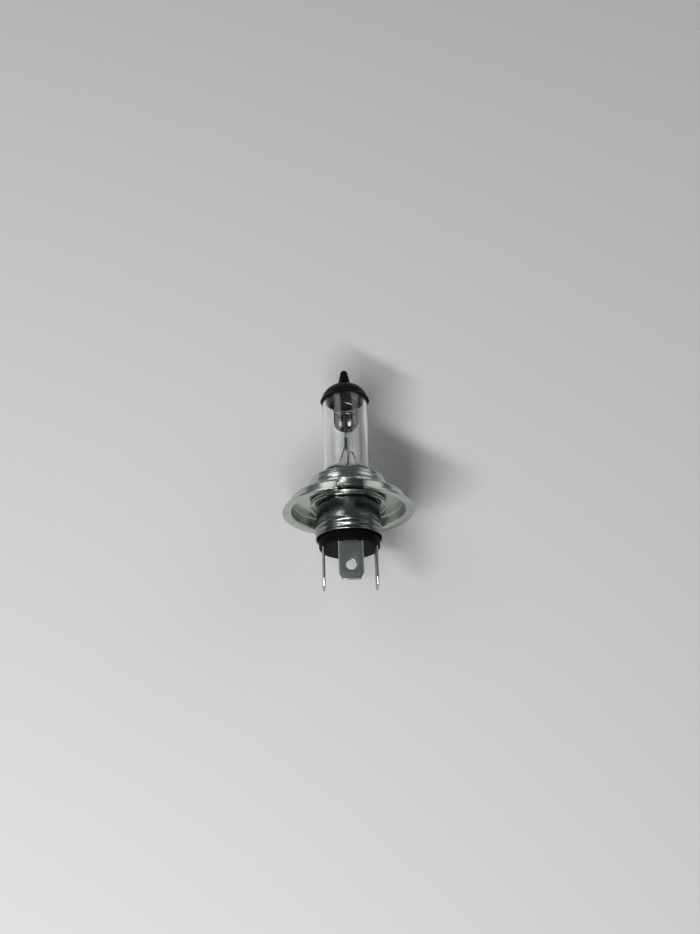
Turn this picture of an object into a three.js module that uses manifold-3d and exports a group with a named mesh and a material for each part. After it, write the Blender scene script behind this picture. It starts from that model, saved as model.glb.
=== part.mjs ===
// A three-blade halogen headlamp bulb with a 43 mm prefocus flange, in millimetres.
// The lamp axis is +Y and points from the blades to the glass tip. +Z is up through the wide lug and the
// top blade, as the lamp sits in a headlamp, and +X is to the right for someone behind the blades.
// The origin is on the axis, in the rear plane of the flange's brim. A "station" is a place along +Y.

import * as THREE from "three";
import { mergeVertices } from "three/addons/utils/BufferGeometryUtils.js";
import Module from "manifold-3d";

const wasm = await Module();
wasm.setup();

// ---- Driving sizes -------------------------------------------------------------------------------------

const fitGap = 0.3; // clearance between pieces that touch on the real lamp
const roundSegments = 40;

const brimDiameter = 43;
const skirtDiameter = 38;
const flangeSheet = 0.6;
const lugSheet = 0.64; // the lugs, slightly swaged
const lugStation = 3.2; // their rear faces
const lugEndRadius = 6.0;
const plateStation = 4.5; // tip-side face of the flange plate
const skirtCorner = 1.0;
const brimFillet = 0.4;
const wideLugWidth = 8.0;
const narrowLugWidth = 6.2;
const lugAngle = 120; // degrees from the wide lug to each narrow one

const collarSheet = 0.5;
const collarLanding = 2.5; // width of plate left under the collar, outside the shell's bore
const collarBandStep = 0.25; // how far the middle band stands in from the foot
const collarTopStep = 0.65; // and the top band from the middle one
const collarLip = 2.2; // width of the lip turned in at the top
const collarFootHeight = 3.0;
const collarBandHeight = 2.0;
const collarTopHeight = 1.5;
const collarGroove = 0.4;
const collarRound = 0.7;

const shellSheet = 0.45;
const shellRadius = 10.5;
const shellBead = 0.45; // how far a rolled bead stands out
const shellBeadPitch = 1.8;
const shellBeads = 2;
const shellRearStation = -9.4;

const ringSheet = 0.5;
const ringStandout = 1.85; // centring ring's outer radius past the shell's
const ringDepth = 1.8;
const ringNotchWidth = 3.0;
const ringNotchDepth = 1.0;
const ringNotches = 6;

const bladeWidth = 8.0;
const bladeThickness = 0.8;
const gripThickness = 0.7; // where a blade is held, so its flat faces end at the shoulders
const bladeEndStation = -25.8;
const topBladeInset = 1.65; // insulator's edge to the middle of the top blade
const sideBladeInset = 1.35; // and to the middle of a side blade
const bladeHoleDiameter = 3.3;
const bladeHoleFromEnd = 4.9;
const bladeChamferWidth = 1.2;
const bladeChamferLength = 2.4;
const gripWidth = 5.0; // the part of a blade held in the insulator
const gripLength = 3.0;
const tailWidth = 3.0;
const tailLength = 2.6; // how far a blade's tail stands out inside the base

const insulatorGap = 0.2; // between the insulator and the shell's narrowest part
const insulatorRearStation = -12.7;
const insulatorDepth = 5.3;
const insulatorEdge = 0.5;

const glassRadius = 7.6;
const glassWall = 1.1;
const shoulderRise = 3.9; // collar's top to where the cylinder begins
const shoulderDepth = 3.6;
const domeStation = 40.4; // where the cylinder ends
const domeHeight = 6.1;
const exhaustRadius = 1.85; // at the foot of the exhaust tip
const exhaustTaper = 0.75; // how much narrower it is where its round end begins
const exhaustRound = 1.3; // length of the round end
const exhaustFillet = 1.1;
const exhaustLength = 5.5; // dome to tip

const coatGap = 0.1; // between the glass and the coating on it
const coatThickness = 0.25;
const coatSkirt = 0.4; // how far the coating reaches down the cylinder
const coatLip = 0.3; // how far its lower edge flares out

const pinchWidth = 13.4;
const pinchThickness = 4.2;
const pinchEdge = 1.2;
const pinchLength = 13.7;

const leadSpacing = 3.9; // between neighbouring leads in the pinch
const outerLeadDiameter = 0.9;
const innerLeadDiameter = 0.7;
const foilWidth = 2.0;
const foilThickness = 0.3;
const foilLength = 5.6;
const foilInset = 2.5; // from the pinch's rear end

const clampSheet = 0.4;
const clampSleeveHeight = 4.0;
const clampFootWidth = 19;
const clampFootDepth = 9.5;
const carrierSheet = 0.5;
const carrierSink = 3.4; // how far the carrier lies below the collar's top

const lowBeamStation = 28.95; // rear end of the low-beam coil
const lowBeamLength = 5.5;
const lowBeamHeight = 0.4; // above the axis
const highBeamStation = 22.3;
const highBeamLength = 4.5;
const coilDiameter = 1.3;
const filamentLeg = 0.4; // diameter of a filament's straight ends
const legReach = 0.5; // how far a straight end runs on before it bends
const postDrop = 1.4; // coil's rear end to the end of its lead
const lowBeamPostHeight = 2.4; // the low-beam lead passes over the high-beam coil

const shieldRoom = 2.1; // between the shield and the glass, for the support wire
const shieldSheet = 0.35;
const shieldRearStation = 28.4;
const shieldBowlDepth = 4.6;
const shieldLength = 9.8;
const shieldEdgeDrop = 0.3; // how far the straight edge lies below the axis
const cutoffAngle = 15; // degrees, the step in the low beam's edge

// ---- Sizes that follow from them -----------------------------------------------------------------------

const brimRadius = brimDiameter / 2;
const skirtRadius = skirtDiameter / 2;
const plateRear = plateStation - flangeSheet;
const plateBoreRadius = shellRadius + fitGap;
const shellFrontStation = plateRear - fitGap;

const collarFootRadius = plateBoreRadius + collarLanding;
const collarBandRadius = collarFootRadius - collarBandStep;
const collarTopRadius = collarBandRadius - collarTopStep;
const collarStation = plateStation + fitGap;
const collarBandStation = collarStation + collarFootHeight;
const collarNeckStation = collarBandStation + collarBandHeight;
const collarTopStation = collarNeckStation + collarTopHeight;

const insulatorRadius = shellRadius - shellSheet - insulatorGap;
const insulatorFrontStation = insulatorRearStation + insulatorDepth;
const topBladeOffset = insulatorRadius - topBladeInset; // axis to the middle of the top blade
const sideBladeOffset = insulatorRadius - sideBladeInset;
const bladeShoulderStation = insulatorRearStation - fitGap;
const gripEndStation = insulatorRearStation + gripLength;
const tailEndStation = insulatorFrontStation + tailLength;
const leadOffset = bladeThickness / 2 + fitGap + outerLeadDiameter / 2; // blade's middle to its lead

const innerGlassRadius = glassRadius - glassWall;
const shoulderStation = collarTopStation + shoulderRise;
const glassTipStation = domeStation + domeHeight + exhaustLength;
const pinchRearStation = shoulderStation - pinchLength;
const foilRearStation = pinchRearStation + foilInset;
const foilFrontStation = foilRearStation + foilLength;

const carrierStation = collarTopStation - carrierSink;
const carrierRadius = collarBandRadius - collarGroove / 2 - collarSheet - fitGap;
const clampFootStation = carrierStation - fitGap - clampSheet;
const clampInnerWidth = pinchWidth + 2 * fitGap;
const clampInnerDepth = pinchThickness + 2 * fitGap;
const clampOuterWidth = clampInnerWidth + 2 * clampSheet;
const clampOuterDepth = clampInnerDepth + 2 * clampSheet;

const shieldRadius = innerGlassRadius - shieldRoom;
const supportDepth = shieldRadius + fitGap + innerLeadDiameter / 2; // support wire below the axis
const shieldFrontStation = shieldRearStation + shieldLength;

// ---- Materials -----------------------------------------------------------------------------------------

function finish(color, roughness, metalness) {
  return new THREE.MeshStandardMaterial({ color, roughness, metalness });
}

const brightNickel = finish(0xb9beb8, 0.25, 1.0);
const darkSteel = finish(0x6d726f, 0.3, 1.0);
const bladeSteel = finish(0x8b908c, 0.45, 1.0);
const blackPlastic = finish(0x0d0f0e, 0.5, 0.0);
const blackCoating = finish(0x101615, 0.45, 0.0);
const clearGlass = finish(0xf4f8f8, 0.05, 0.0);
const molybdenum = finish(0xa6a8a6, 0.35, 1.0);
const tungsten = finish(0x7d7f80, 0.5, 1.0);

// ---- Geometry helpers ----------------------------------------------------------------------------------

const degrees = Math.PI / 180;

// Points [radius, station] on an ellipse, from one angle to another in degrees.
function arc(centreRadius, centreStation, radial, axial, from, to, steps) {
  const points = [];
  for (let i = 0; i <= steps; i += 1) {
    const angle = (from + ((to - from) * i) / steps) * degrees;
    points.push([centreRadius + radial * Math.cos(angle), centreStation + axial * Math.sin(angle)]);
  }
  return points;
}

// A body turned about the axis. Its profile goes up the outside.
function lathe(profile, segments = roundSegments) {
  const points = profile.map(([radius, station]) => new THREE.Vector2(Math.max(radius, 0), station));
  return new THREE.LatheGeometry(points, segments);
}

// A turned sheet: the profile of its outer face, and an inner face offset to the left of it.
function turnedSheet(path, thickness) {
  const outer = path.map(([radius, station]) => new THREE.Vector2(radius, station));
  const inner = outer.map((point, i) => {
    const before = point.clone().sub(outer[Math.max(i - 1, 0)]).normalize();
    const after = outer[Math.min(i + 1, outer.length - 1)].clone().sub(point).normalize();
    const along = before.clone().add(after);
    const mitre = before.length() * after.length() > 0 ? along.length() / 2 : 1;
    along.normalize();
    return new THREE.Vector2(-along.y, along.x).multiplyScalar(thickness / mitre).add(point);
  });
  return new THREE.LatheGeometry([...outer, ...inner.reverse(), outer[0]], roundSegments);
}

function box(width, length, height, x = 0, y = 0, z = 0) {
  return new THREE.BoxGeometry(width, length, height).translate(x, y, z);
}

// A bar along the lamp axis with a rounded rectangular section.
function roundedBar(width, thickness, edge, rear, front) {
  const x = width / 2 - edge;
  const y = thickness / 2 - edge;
  const shape = new THREE.Shape();
  shape.absarc(x, -y, edge, -Math.PI / 2, 0);
  shape.absarc(x, y, edge, 0, Math.PI / 2);
  shape.absarc(-x, y, edge, Math.PI / 2, Math.PI);
  shape.absarc(-x, -y, edge, Math.PI, 1.5 * Math.PI);
  const depth = front - rear;
  const bar = new THREE.ExtrudeGeometry(shape, { depth, bevelEnabled: false, curveSegments: 4 });
  return bar.rotateX(-Math.PI / 2).translate(0, rear, 0);
}

// A round wire along a smooth curve through the given points.
function wire(points, diameter, steps = 18) {
  const section = new THREE.Shape();
  section.absarc(0, 0, diameter / 2, 0, 2 * Math.PI);
  const route = points.map((point) => new THREE.Vector3(...point));
  const extrudePath = new THREE.CatmullRomCurve3(route, false, "centripetal");
  return new THREE.ExtrudeGeometry(section, { steps, curveSegments: 4, extrudePath });
}

// A rod along the lamp axis.
function rod(diameter, rear, front, x = 0, z = 0, segments = 12) {
  const cylinder = new THREE.CylinderGeometry(diameter / 2, diameter / 2, front - rear, segments);
  return cylinder.translate(x, (rear + front) / 2, z);
}

// A closed geometry as a solid that can be cut and joined.
function solid(geometry) {
  const bare = geometry.clone();
  bare.deleteAttribute("normal");
  bare.deleteAttribute("uv");
  const merged = mergeVertices(bare, 1e-4);
  const vertProperties = new Float32Array(merged.getAttribute("position").array);
  const triVerts = new Uint32Array(merged.getIndex().array);
  return new wasm.Manifold(new wasm.Mesh({ numProp: 3, vertProperties, triVerts }));
}

function geometryOf(body) {
  const { vertProperties, triVerts } = body.getMesh();
  const geometry = new THREE.BufferGeometry();
  geometry.setAttribute("position", new THREE.BufferAttribute(new Float32Array(vertProperties), 3));
  geometry.setIndex(new THREE.BufferAttribute(new Uint32Array(triVerts), 1));
  geometry.computeVertexNormals();
  return geometry;
}

function cut(body, ...tools) {
  return tools.reduce((left, tool) => left.subtract(solid(tool)), body);
}

function join(body, ...others) {
  return others.reduce((whole, other) => whole.add(solid(other)), body);
}

// ---- Prefocus flange -----------------------------------------------------------------------------------

// A flat lug with a rounded end that reaches the brim's radius.
function lugGeometry(width, root) {
  const half = width / 2;
  const sweep = Math.asin(half / lugEndRadius);
  const outline = new THREE.Shape();
  outline.moveTo(-half, root);
  outline.lineTo(half, root);
  outline.absarc(0, brimRadius - lugEndRadius, lugEndRadius, Math.PI / 2 - sweep, Math.PI / 2 + sweep);
  const lug = new THREE.ExtrudeGeometry(outline, { depth: lugSheet, bevelEnabled: false, curveSegments: 8 });
  return lug.rotateX(Math.PI / 2).translate(0, lugStation + lugSheet, 0);
}

// Brim, skirt and plate are one pressing. The wide lug is sheared free over a window of its own width and
// set down below the plate by a joggle. The narrow lugs stand straight out of the skirt at the same level.
function flangeBody() {
  const dish = turnedSheet([
    [brimRadius, flangeSheet],
    ...arc(skirtRadius + brimFillet, flangeSheet + brimFillet, brimFillet, brimFillet, 270, 180, 2),
    ...arc(skirtRadius - skirtCorner, plateStation - skirtCorner, skirtCorner, skirtCorner, 0, 90, 3),
    [plateBoreRadius, plateStation],
  ], flangeSheet);
  const windowRoot = skirtRadius - skirtCorner - flangeSheet;
  const window = box(wideLugWidth + fitGap, plateStation + 2 * fitGap, brimRadius - windowRoot + fitGap, 0,
    plateStation / 2, (brimRadius + fitGap + windowRoot) / 2);
  const joggle = box(wideLugWidth, plateStation - lugStation, flangeSheet, 0, (plateStation + lugStation) / 2,
    windowRoot - flangeSheet / 2);
  const wideLug = lugGeometry(wideLugWidth, windowRoot - flangeSheet);
  const narrowLugs = [lugAngle, -lugAngle].map((angle) => (
    lugGeometry(narrowLugWidth, skirtRadius - flangeSheet / 2).rotateY(angle * degrees)
  ));
  return join(cut(solid(dish), window), joggle, wideLug, ...narrowLugs);
}

// ---- Collar, centring ring and shell -------------------------------------------------------------------

// Three stacked bands with a groove under each of the upper two, and a mouth turned in at the top.
function collarGeometry() {
  return turnedSheet([
    [collarFootRadius, collarStation],
    [collarFootRadius, collarBandStation - collarGroove],
    [collarBandRadius - collarGroove / 2, collarBandStation],
    [collarBandRadius, collarBandStation + collarGroove],
    [collarBandRadius, collarNeckStation - collarGroove],
    [collarTopRadius - collarGroove / 2, collarNeckStation],
    ...arc(collarTopRadius - collarRound, collarTopStation - collarRound, collarRound, collarRound, 0, 90, 3),
    [collarTopRadius - collarLip, collarTopStation],
  ], collarSheet);
}

// A channel-edged ring under the plate, notched all round into small tongues.
function centringRingBody() {
  const outer = shellRadius + ringStandout;
  const ring = turnedSheet([
    [outer, shellFrontStation - ringDepth],
    ...arc(outer - ringSheet, shellFrontStation - ringSheet, ringSheet, ringSheet, 0, 90, 3),
    [plateBoreRadius, shellFrontStation],
  ], ringSheet);
  const notches = [];
  for (let i = 0; i < ringNotches; i += 1) {
    const notch = box(ringNotchWidth, ringNotchDepth, 3, 0, shellFrontStation - ringDepth, outer);
    notches.push(notch.rotateY(((i + 0.5) * 2 * Math.PI) / ringNotches));
  }
  return cut(solid(ring), ...notches);
}

// A plain sleeve with rolled beads at its rear end.
function shellGeometry() {
  const beadSteps = 6;
  const beads = [];
  for (let i = 0; i <= shellBeads * beadSteps; i += 1) {
    const standout = (shellBead * (1 - Math.cos((2 * Math.PI * (i + beadSteps / 3)) / beadSteps))) / 2;
    beads.push([shellRadius + standout, shellRearStation + (i * shellBeadPitch) / beadSteps]);
  }
  return turnedSheet([...beads, [shellRadius, shellRearStation + (shellBeads + 1) * shellBeadPitch * 0.8],
    [shellRadius, shellFrontStation]], shellSheet);
}

// ---- Insulator and blades ------------------------------------------------------------------------------

// Each blade's angle about the axis from the top, and its distance from the axis.
const bladePlaces = {
  terminal_top: [0, topBladeOffset],
  terminal_right: [90, sideBladeOffset],
  terminal_left: [-90, sideBladeOffset],
};

function insulatorBody() {
  const disc = lathe([
    [0, insulatorRearStation],
    [insulatorRadius - insulatorEdge, insulatorRearStation],
    [insulatorRadius, insulatorRearStation + insulatorEdge],
    [insulatorRadius, insulatorFrontStation],
    [0, insulatorFrontStation],
  ]);
  const slotDepth = gripThickness + 2 * fitGap;
  return Object.values(bladePlaces).reduce((body, [angle, offset]) => {
    const gripDepth = 2 * (gripLength + fitGap);
    const grip = box(gripWidth + 2 * fitGap, gripDepth, slotDepth, 0, insulatorRearStation, offset);
    const tail = box(tailWidth + 2 * fitGap, 2 * insulatorDepth, slotDepth, 0, insulatorFrontStation, offset);
    return cut(body, grip.rotateY(angle * degrees), tail.rotateY(angle * degrees));
  }, solid(disc));
}

// A flat blade with a hole and two cut corners. Its shoulders rest on the insulator, which holds a narrower
// grip, and a still narrower tail stands out inside the base.
function bladeBody() {
  const half = bladeWidth / 2;
  const outline = new THREE.Shape([
    [half - bladeChamferWidth, bladeEndStation],
    [half, bladeEndStation + bladeChamferLength],
    [half, bladeShoulderStation],
    [-half, bladeShoulderStation],
    [-half, bladeEndStation + bladeChamferLength],
    [bladeChamferWidth - half, bladeEndStation],
  ].map((point) => new THREE.Vector2(...point)));
  const hole = new THREE.Path();
  hole.absarc(0, bladeEndStation + bladeHoleFromEnd, bladeHoleDiameter / 2, 0, 2 * Math.PI, true);
  outline.holes.push(hole);
  const blade = new THREE.ExtrudeGeometry(outline, { depth: bladeThickness, bevelEnabled: false,
    curveSegments: 12 });
  const root = bladeShoulderStation - gripLength;
  const grip = box(gripWidth, gripEndStation - root, gripThickness, 0, (gripEndStation + root) / 2);
  const tail = box(tailWidth, tailEndStation - gripEndStation, gripThickness, 0,
    (tailEndStation + gripEndStation) / 2);
  return join(solid(blade.translate(0, 0, -bladeThickness / 2)), grip, tail);
}

// ---- Glass capsule and its coating ---------------------------------------------------------------------

// The outside of the dome and its exhaust tip, stood off by the given distance.
function domeProfile(standoff) {
  const tipRadius = exhaustRadius - exhaustTaper + standoff;
  const tipLength = exhaustRound + standoff;
  const filletRadius = exhaustRadius + exhaustFillet + standoff;
  const filletAngle = Math.acos(filletRadius / (glassRadius + standoff)) / degrees;
  const filletStation = domeStation + (domeHeight + standoff) * Math.sin(filletAngle * degrees);
  return [
    ...arc(0, domeStation, glassRadius + standoff, domeHeight + standoff, 0, filletAngle, 6),
    ...arc(filletRadius, filletStation + exhaustFillet, exhaustFillet, exhaustFillet, 240, 180, 2).slice(1),
    ...arc(0, glassTipStation + standoff - tipLength, tipRadius, tipLength, 0, 90, 4),
  ];
}

// A tube with a drawn dome at the tip and a flat pinch at the rear. Three channels for the leads and their
// sealing foils run through the pinch into the tube.
function glassBody() {
  const outside = lathe([
    ...arc(0, shoulderStation, glassRadius, shoulderDepth, -90, 0, 5),
    ...domeProfile(0),
  ]);
  const pinch = roundedBar(pinchWidth, pinchThickness, pinchEdge, pinchRearStation,
    shoulderStation - glassWall);
  const cavity = lathe([
    ...arc(0, shoulderStation, innerGlassRadius, shoulderDepth / 2, -90, 0, 4),
    ...arc(0, domeStation, innerGlassRadius, domeHeight - glassWall, 0, 90, 5),
  ]);
  const channels = [-1, 0, 1].flatMap((side) => {
    const x = side * leadSpacing;
    const pocketLength = foilLength + 2 * fitGap;
    const pocket = box(foilWidth + 2 * fitGap, pocketLength, foilThickness + 2 * fitGap, x,
      foilRearStation - fitGap + pocketLength / 2, 0);
    const rearBore = rod(outerLeadDiameter + 2 * fitGap, pinchRearStation - 1, foilRearStation, x);
    const frontBore = rod(innerLeadDiameter + 2 * fitGap, foilFrontStation, shoulderStation, x);
    return [pocket, rearBore, frontBore];
  });
  return cut(join(solid(outside), pinch), cavity, ...channels);
}

function coatingGeometry() {
  const inside = domeProfile(coatGap);
  const outside = domeProfile(coatGap + coatThickness);
  const rimStation = domeStation - coatSkirt;
  const innerRadius = glassRadius + coatGap;
  return lathe([
    ...inside.reverse(),
    [innerRadius, rimStation],
    [innerRadius + coatThickness + coatLip, rimStation],
    ...outside,
  ]);
}

// ---- Pinch clamp and carrier ---------------------------------------------------------------------------

// A sheet sleeve round the pinch on a flat foot.
function clampBody() {
  const footRear = clampFootStation;
  const sleeveFront = clampFootStation + clampSleeveHeight;
  const foot = roundedBar(clampFootWidth, clampFootDepth, 2 * pinchEdge, footRear, footRear + clampSheet);
  const sleeve = roundedBar(clampOuterWidth, clampOuterDepth, pinchEdge, footRear, sleeveFront);
  const inside = box(clampInnerWidth, 3 * clampSleeveHeight, clampInnerDepth, 0, footRear, 0);
  return cut(join(solid(foot), sleeve), inside);
}

// The disc that closes the collar's mouth and sits on the clamp's foot.
function carrierBody() {
  const disc = lathe([
    [0, carrierStation],
    [carrierRadius, carrierStation],
    [carrierRadius, carrierStation + carrierSheet],
    [0, carrierStation + carrierSheet],
  ]);
  const slot = box(clampOuterWidth + 2 * fitGap, 4 * carrierSheet, clampOuterDepth + 2 * fitGap, 0,
    carrierStation, 0);
  return cut(solid(disc), slot);
}

// ---- Filaments, shield and leads -----------------------------------------------------------------------

const highBeamPost = [leadSpacing / 2, highBeamStation - postDrop, 0];
const lowBeamPost = [innerLeadDiameter, lowBeamStation - postDrop, lowBeamPostHeight];
const highBeamFront = highBeamStation + highBeamLength;
const lowBeamFront = lowBeamStation + lowBeamLength;

// A coil's outer envelope with its straight ends, which start inside it.
function filamentBody(station, length, height, rearLeg, frontLeg) {
  const coil = rod(coilDiameter, station, station + length, 0, height, 16);
  const rear = wire([[0, station + filamentLeg, height], ...rearLeg], filamentLeg, 8);
  const front = wire([[0, station + length - filamentLeg, height], ...frontLeg], filamentLeg, 8);
  return join(solid(coil), rear, front);
}

function highBeamBody() {
  const [postX, postStation, postZ] = highBeamPost;
  const rearLeg = [
    [filamentLeg / 4, highBeamStation - legReach, 0],
    [postX - innerLeadDiameter / 2 - fitGap, postStation + fitGap, postZ],
  ];
  const frontLeg = [
    [0, highBeamFront + legReach, -legReach],
    [0, highBeamFront + 2 * filamentLeg, -supportDepth + innerLeadDiameter / 2 + fitGap],
  ];
  return filamentBody(highBeamStation, highBeamLength, 0, rearLeg, frontLeg);
}

function lowBeamBody() {
  const [postX, postStation, postZ] = lowBeamPost;
  const rearLeg = [
    [filamentLeg / 4, lowBeamStation - legReach, lowBeamHeight + fitGap],
    [postX, postStation + fitGap, postZ - innerLeadDiameter],
  ];
  const frontLeg = [
    [0, lowBeamFront + legReach, lowBeamHeight - legReach],
    [0, lowBeamFront + 3 * filamentLeg, -shieldRadius + shieldSheet + fitGap + filamentLeg / 2],
  ];
  return filamentBody(lowBeamStation, lowBeamLength, lowBeamHeight, rearLeg, frontLeg);
}

// A goblet cut open along its top. The left edge drops away at the cut-off angle.
function shieldBody() {
  const inner = shieldRadius - shieldSheet;
  const bowlStation = shieldRearStation + shieldBowlDepth;
  const goblet = lathe([
    ...arc(0, bowlStation, shieldRadius, shieldBowlDepth, -90, 0, 6),
    [shieldRadius, shieldFrontStation],
    [inner, shieldFrontStation],
    ...arc(0, bowlStation, inner, shieldBowlDepth - shieldSheet, 0, -90, 6),
  ], 24);
  const reach = 2 * shieldRadius;
  const lid = () => box(2 * reach, 4 * shieldLength, reach, 0, shieldRearStation, reach / 2);
  const straight = lid().translate(reach, 0, -shieldEdgeDrop);
  const sloped = lid().rotateY(-cutoffAngle * degrees).translate(0, 0, -shieldEdgeDrop);
  return cut(solid(goblet), straight, sloped);
}

function supportWire() {
  const start = foilFrontStation + fitGap;
  return wire([
    [-leadSpacing, start, 0],
    [-leadSpacing, shoulderStation - 1, 0],
    [-leadSpacing * 0.8, shoulderStation + 1.5, -supportDepth * 0.4],
    [-leadSpacing * 0.3, highBeamStation, -supportDepth * 0.85],
    [0, highBeamFront, -supportDepth],
    [0, shieldRearStation + shieldBowlDepth + 1, -supportDepth],
  ], innerLeadDiameter, 26);
}

function lowBeamLead() {
  const [postX, postStation, postZ] = lowBeamPost;
  const start = foilFrontStation + fitGap;
  return wire([
    [0, start, 0],
    [0, shoulderStation - 0.5, 0],
    [postX / 2, shoulderStation + 2, postZ * 0.6],
    [postX, highBeamStation, postZ],
    [postX, postStation, postZ],
  ], innerLeadDiameter, 24);
}

function highBeamLead() {
  const [postX, postStation, postZ] = highBeamPost;
  const start = foilFrontStation + fitGap;
  return wire([
    [leadSpacing, start, 0],
    [leadSpacing, shoulderStation - 0.5, 0],
    [(leadSpacing + postX) / 2, (shoulderStation + postStation) / 2 + 0.5, 0],
    [postX, postStation, postZ],
  ], innerLeadDiameter);
}

// From a foil in the pinch to the inner side of a blade's tail.
function outerLead(side, angle, offset) {
  const outward = offset - leadOffset;
  const x = Math.sin(angle * degrees) * outward;
  const z = Math.cos(angle * degrees) * outward;
  const start = side * leadSpacing;
  const bend = pinchRearStation - 1.5;
  const end = insulatorFrontStation + fitGap;
  return wire([
    [start, foilRearStation - fitGap, 0],
    [start, bend, 0],
    [start + (x - start) * 0.8, (bend + tailEndStation) / 2, z * 0.8],
    [x, tailEndStation, z],
    [x, end, z],
  ], outerLeadDiameter, 20);
}

function foilGeometry(side) {
  return box(foilWidth, foilLength, foilThickness, side * leadSpacing, foilRearStation + foilLength / 2, 0);
}

// ---- Assembly ------------------------------------------------------------------------------------------

const lamp = new THREE.Group();

function place(parent, name, geometry, material) {
  const mesh = new THREE.Mesh(geometry, material);
  mesh.name = name;
  parent.add(mesh);
  return mesh;
}

const cap = new THREE.Group();
place(cap, "prefocus_flange", geometryOf(flangeBody()), brightNickel);
place(cap, "upper_collar", collarGeometry(), brightNickel);
place(cap, "centring_ring", geometryOf(centringRingBody()), brightNickel);
place(cap, "base_shell", shellGeometry(), darkSteel);
place(cap, "insulator_disc", geometryOf(insulatorBody()), blackPlastic);
for (const [name, [angle, offset]] of Object.entries(bladePlaces)) {
  const arm = new THREE.Group();
  arm.rotation.y = angle * degrees;
  place(arm, name, geometryOf(bladeBody()), bladeSteel).position.z = offset;
  cap.add(arm);
}
lamp.add(cap);

const burner = new THREE.Group();
place(burner, "glass_capsule", geometryOf(glassBody()), clearGlass);
place(burner, "black_top_coating", coatingGeometry(), blackCoating);
place(burner, "pinch_clamp", geometryOf(clampBody()), brightNickel);
place(burner, "clamp_carrier", geometryOf(carrierBody()), brightNickel);
place(burner, "low_beam_filament", geometryOf(lowBeamBody()), tungsten);
place(burner, "high_beam_filament", geometryOf(highBeamBody()), tungsten);
place(burner, "low_beam_shield", geometryOf(shieldBody()), molybdenum);
place(burner, "common_support_wire", supportWire(), molybdenum);
place(burner, "low_beam_inner_lead", lowBeamLead(), molybdenum);
place(burner, "high_beam_inner_lead", highBeamLead(), molybdenum);
const circuits = {
  common: [-1, "terminal_left"],
  low_beam: [0, "terminal_top"],
  high_beam: [1, "terminal_right"],
};
for (const [name, [side, blade]] of Object.entries(circuits)) {
  place(burner, `${name}_sealing_foil`, foilGeometry(side), molybdenum);
  place(burner, `${name}_outer_lead`, outerLead(side, ...bladePlaces[blade]), molybdenum);
}
lamp.add(burner);

export default lamp;
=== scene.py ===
"""A three-blade halogen headlamp bulb: its looks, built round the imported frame.

The frame's +Y runs along the lamp axis toward the glass tip, and +Z is up through the wide lug and the top
blade. Sizes here are in millimetres and become metres when a mesh is made. A "station" is a place along +Y.
"""
import math

import bmesh
import bpy
from mathutils import Matrix, Vector


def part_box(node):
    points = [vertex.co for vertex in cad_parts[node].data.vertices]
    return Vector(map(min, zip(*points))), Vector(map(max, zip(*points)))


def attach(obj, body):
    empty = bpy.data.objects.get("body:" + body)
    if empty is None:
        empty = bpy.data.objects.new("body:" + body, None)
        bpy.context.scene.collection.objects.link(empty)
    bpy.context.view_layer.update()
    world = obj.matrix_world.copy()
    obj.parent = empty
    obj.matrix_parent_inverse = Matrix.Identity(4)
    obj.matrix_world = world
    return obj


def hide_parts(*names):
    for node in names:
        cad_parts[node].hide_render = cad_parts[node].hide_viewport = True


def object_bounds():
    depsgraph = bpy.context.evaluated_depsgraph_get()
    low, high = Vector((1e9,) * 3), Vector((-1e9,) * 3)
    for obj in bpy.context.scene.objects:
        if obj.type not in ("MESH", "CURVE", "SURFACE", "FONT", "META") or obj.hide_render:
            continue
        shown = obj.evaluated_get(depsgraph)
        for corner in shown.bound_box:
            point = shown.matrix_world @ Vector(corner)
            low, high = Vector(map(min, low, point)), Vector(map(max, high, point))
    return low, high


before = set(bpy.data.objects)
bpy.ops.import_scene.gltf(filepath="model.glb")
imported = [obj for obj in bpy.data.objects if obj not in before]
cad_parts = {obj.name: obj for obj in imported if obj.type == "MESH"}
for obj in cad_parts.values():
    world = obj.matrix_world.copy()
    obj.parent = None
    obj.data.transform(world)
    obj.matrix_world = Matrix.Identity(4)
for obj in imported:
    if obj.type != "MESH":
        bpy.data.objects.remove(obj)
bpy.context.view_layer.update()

MM = 0.001
TURN_STEPS = 160  # faces round a turned piece
SLIVER = 0.002  # points nearer together than this become one, and a smaller radius is on the axis
WELD = 1e-4  # the same for the points of a flat plate
SHEARED_EDGE = 0.12  # radius left on a sheet's sheared edge
SHARP_MITRE = 0.4  # least cosine of half a bend, so that a sharp one isn't drawn out to a spike
ROOM_SHARE = 0.45  # of the shorter side that a fillet can take
WIRE_END_RINGS = (0.55, 0.85)  # of a wire's radius past its path's end
WIRE_SAMPLES = 10  # points from one bend of a wire to the next
BROKEN_EDGE = 0.05  # width taken off the edges of a cut pressing


# ---- Sizes from the frame ------------------------------------------

def span(node):
    """A node's lowest and highest corners, in millimetres."""
    low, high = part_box(node)
    return low / MM, high / MM


def middle(node):
    """The middle of a node's box, in millimetres."""
    low, high = span(node)
    return (low + high) / 2


# ---- Outlines ------------------------------------------------------

def arc(centre, radii, start, end, steps):
    """Points on an ellipse between two angles in degrees."""
    points = []
    for i in range(steps + 1):
        angle = math.radians(start + (end - start) * i / steps)
        points.append((centre[0] + radii[0] * math.cos(angle), centre[1] + radii[1] * math.sin(angle)))
    return points


def circle(centre, radius, count, backward=False):
    """A closed outline of points round a circle, backward for a hole."""
    start, end = (360, 360 / count) if backward else (0, 360 - 360 / count)
    return arc(centre, (radius, radius), start, end, count - 1)


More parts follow.
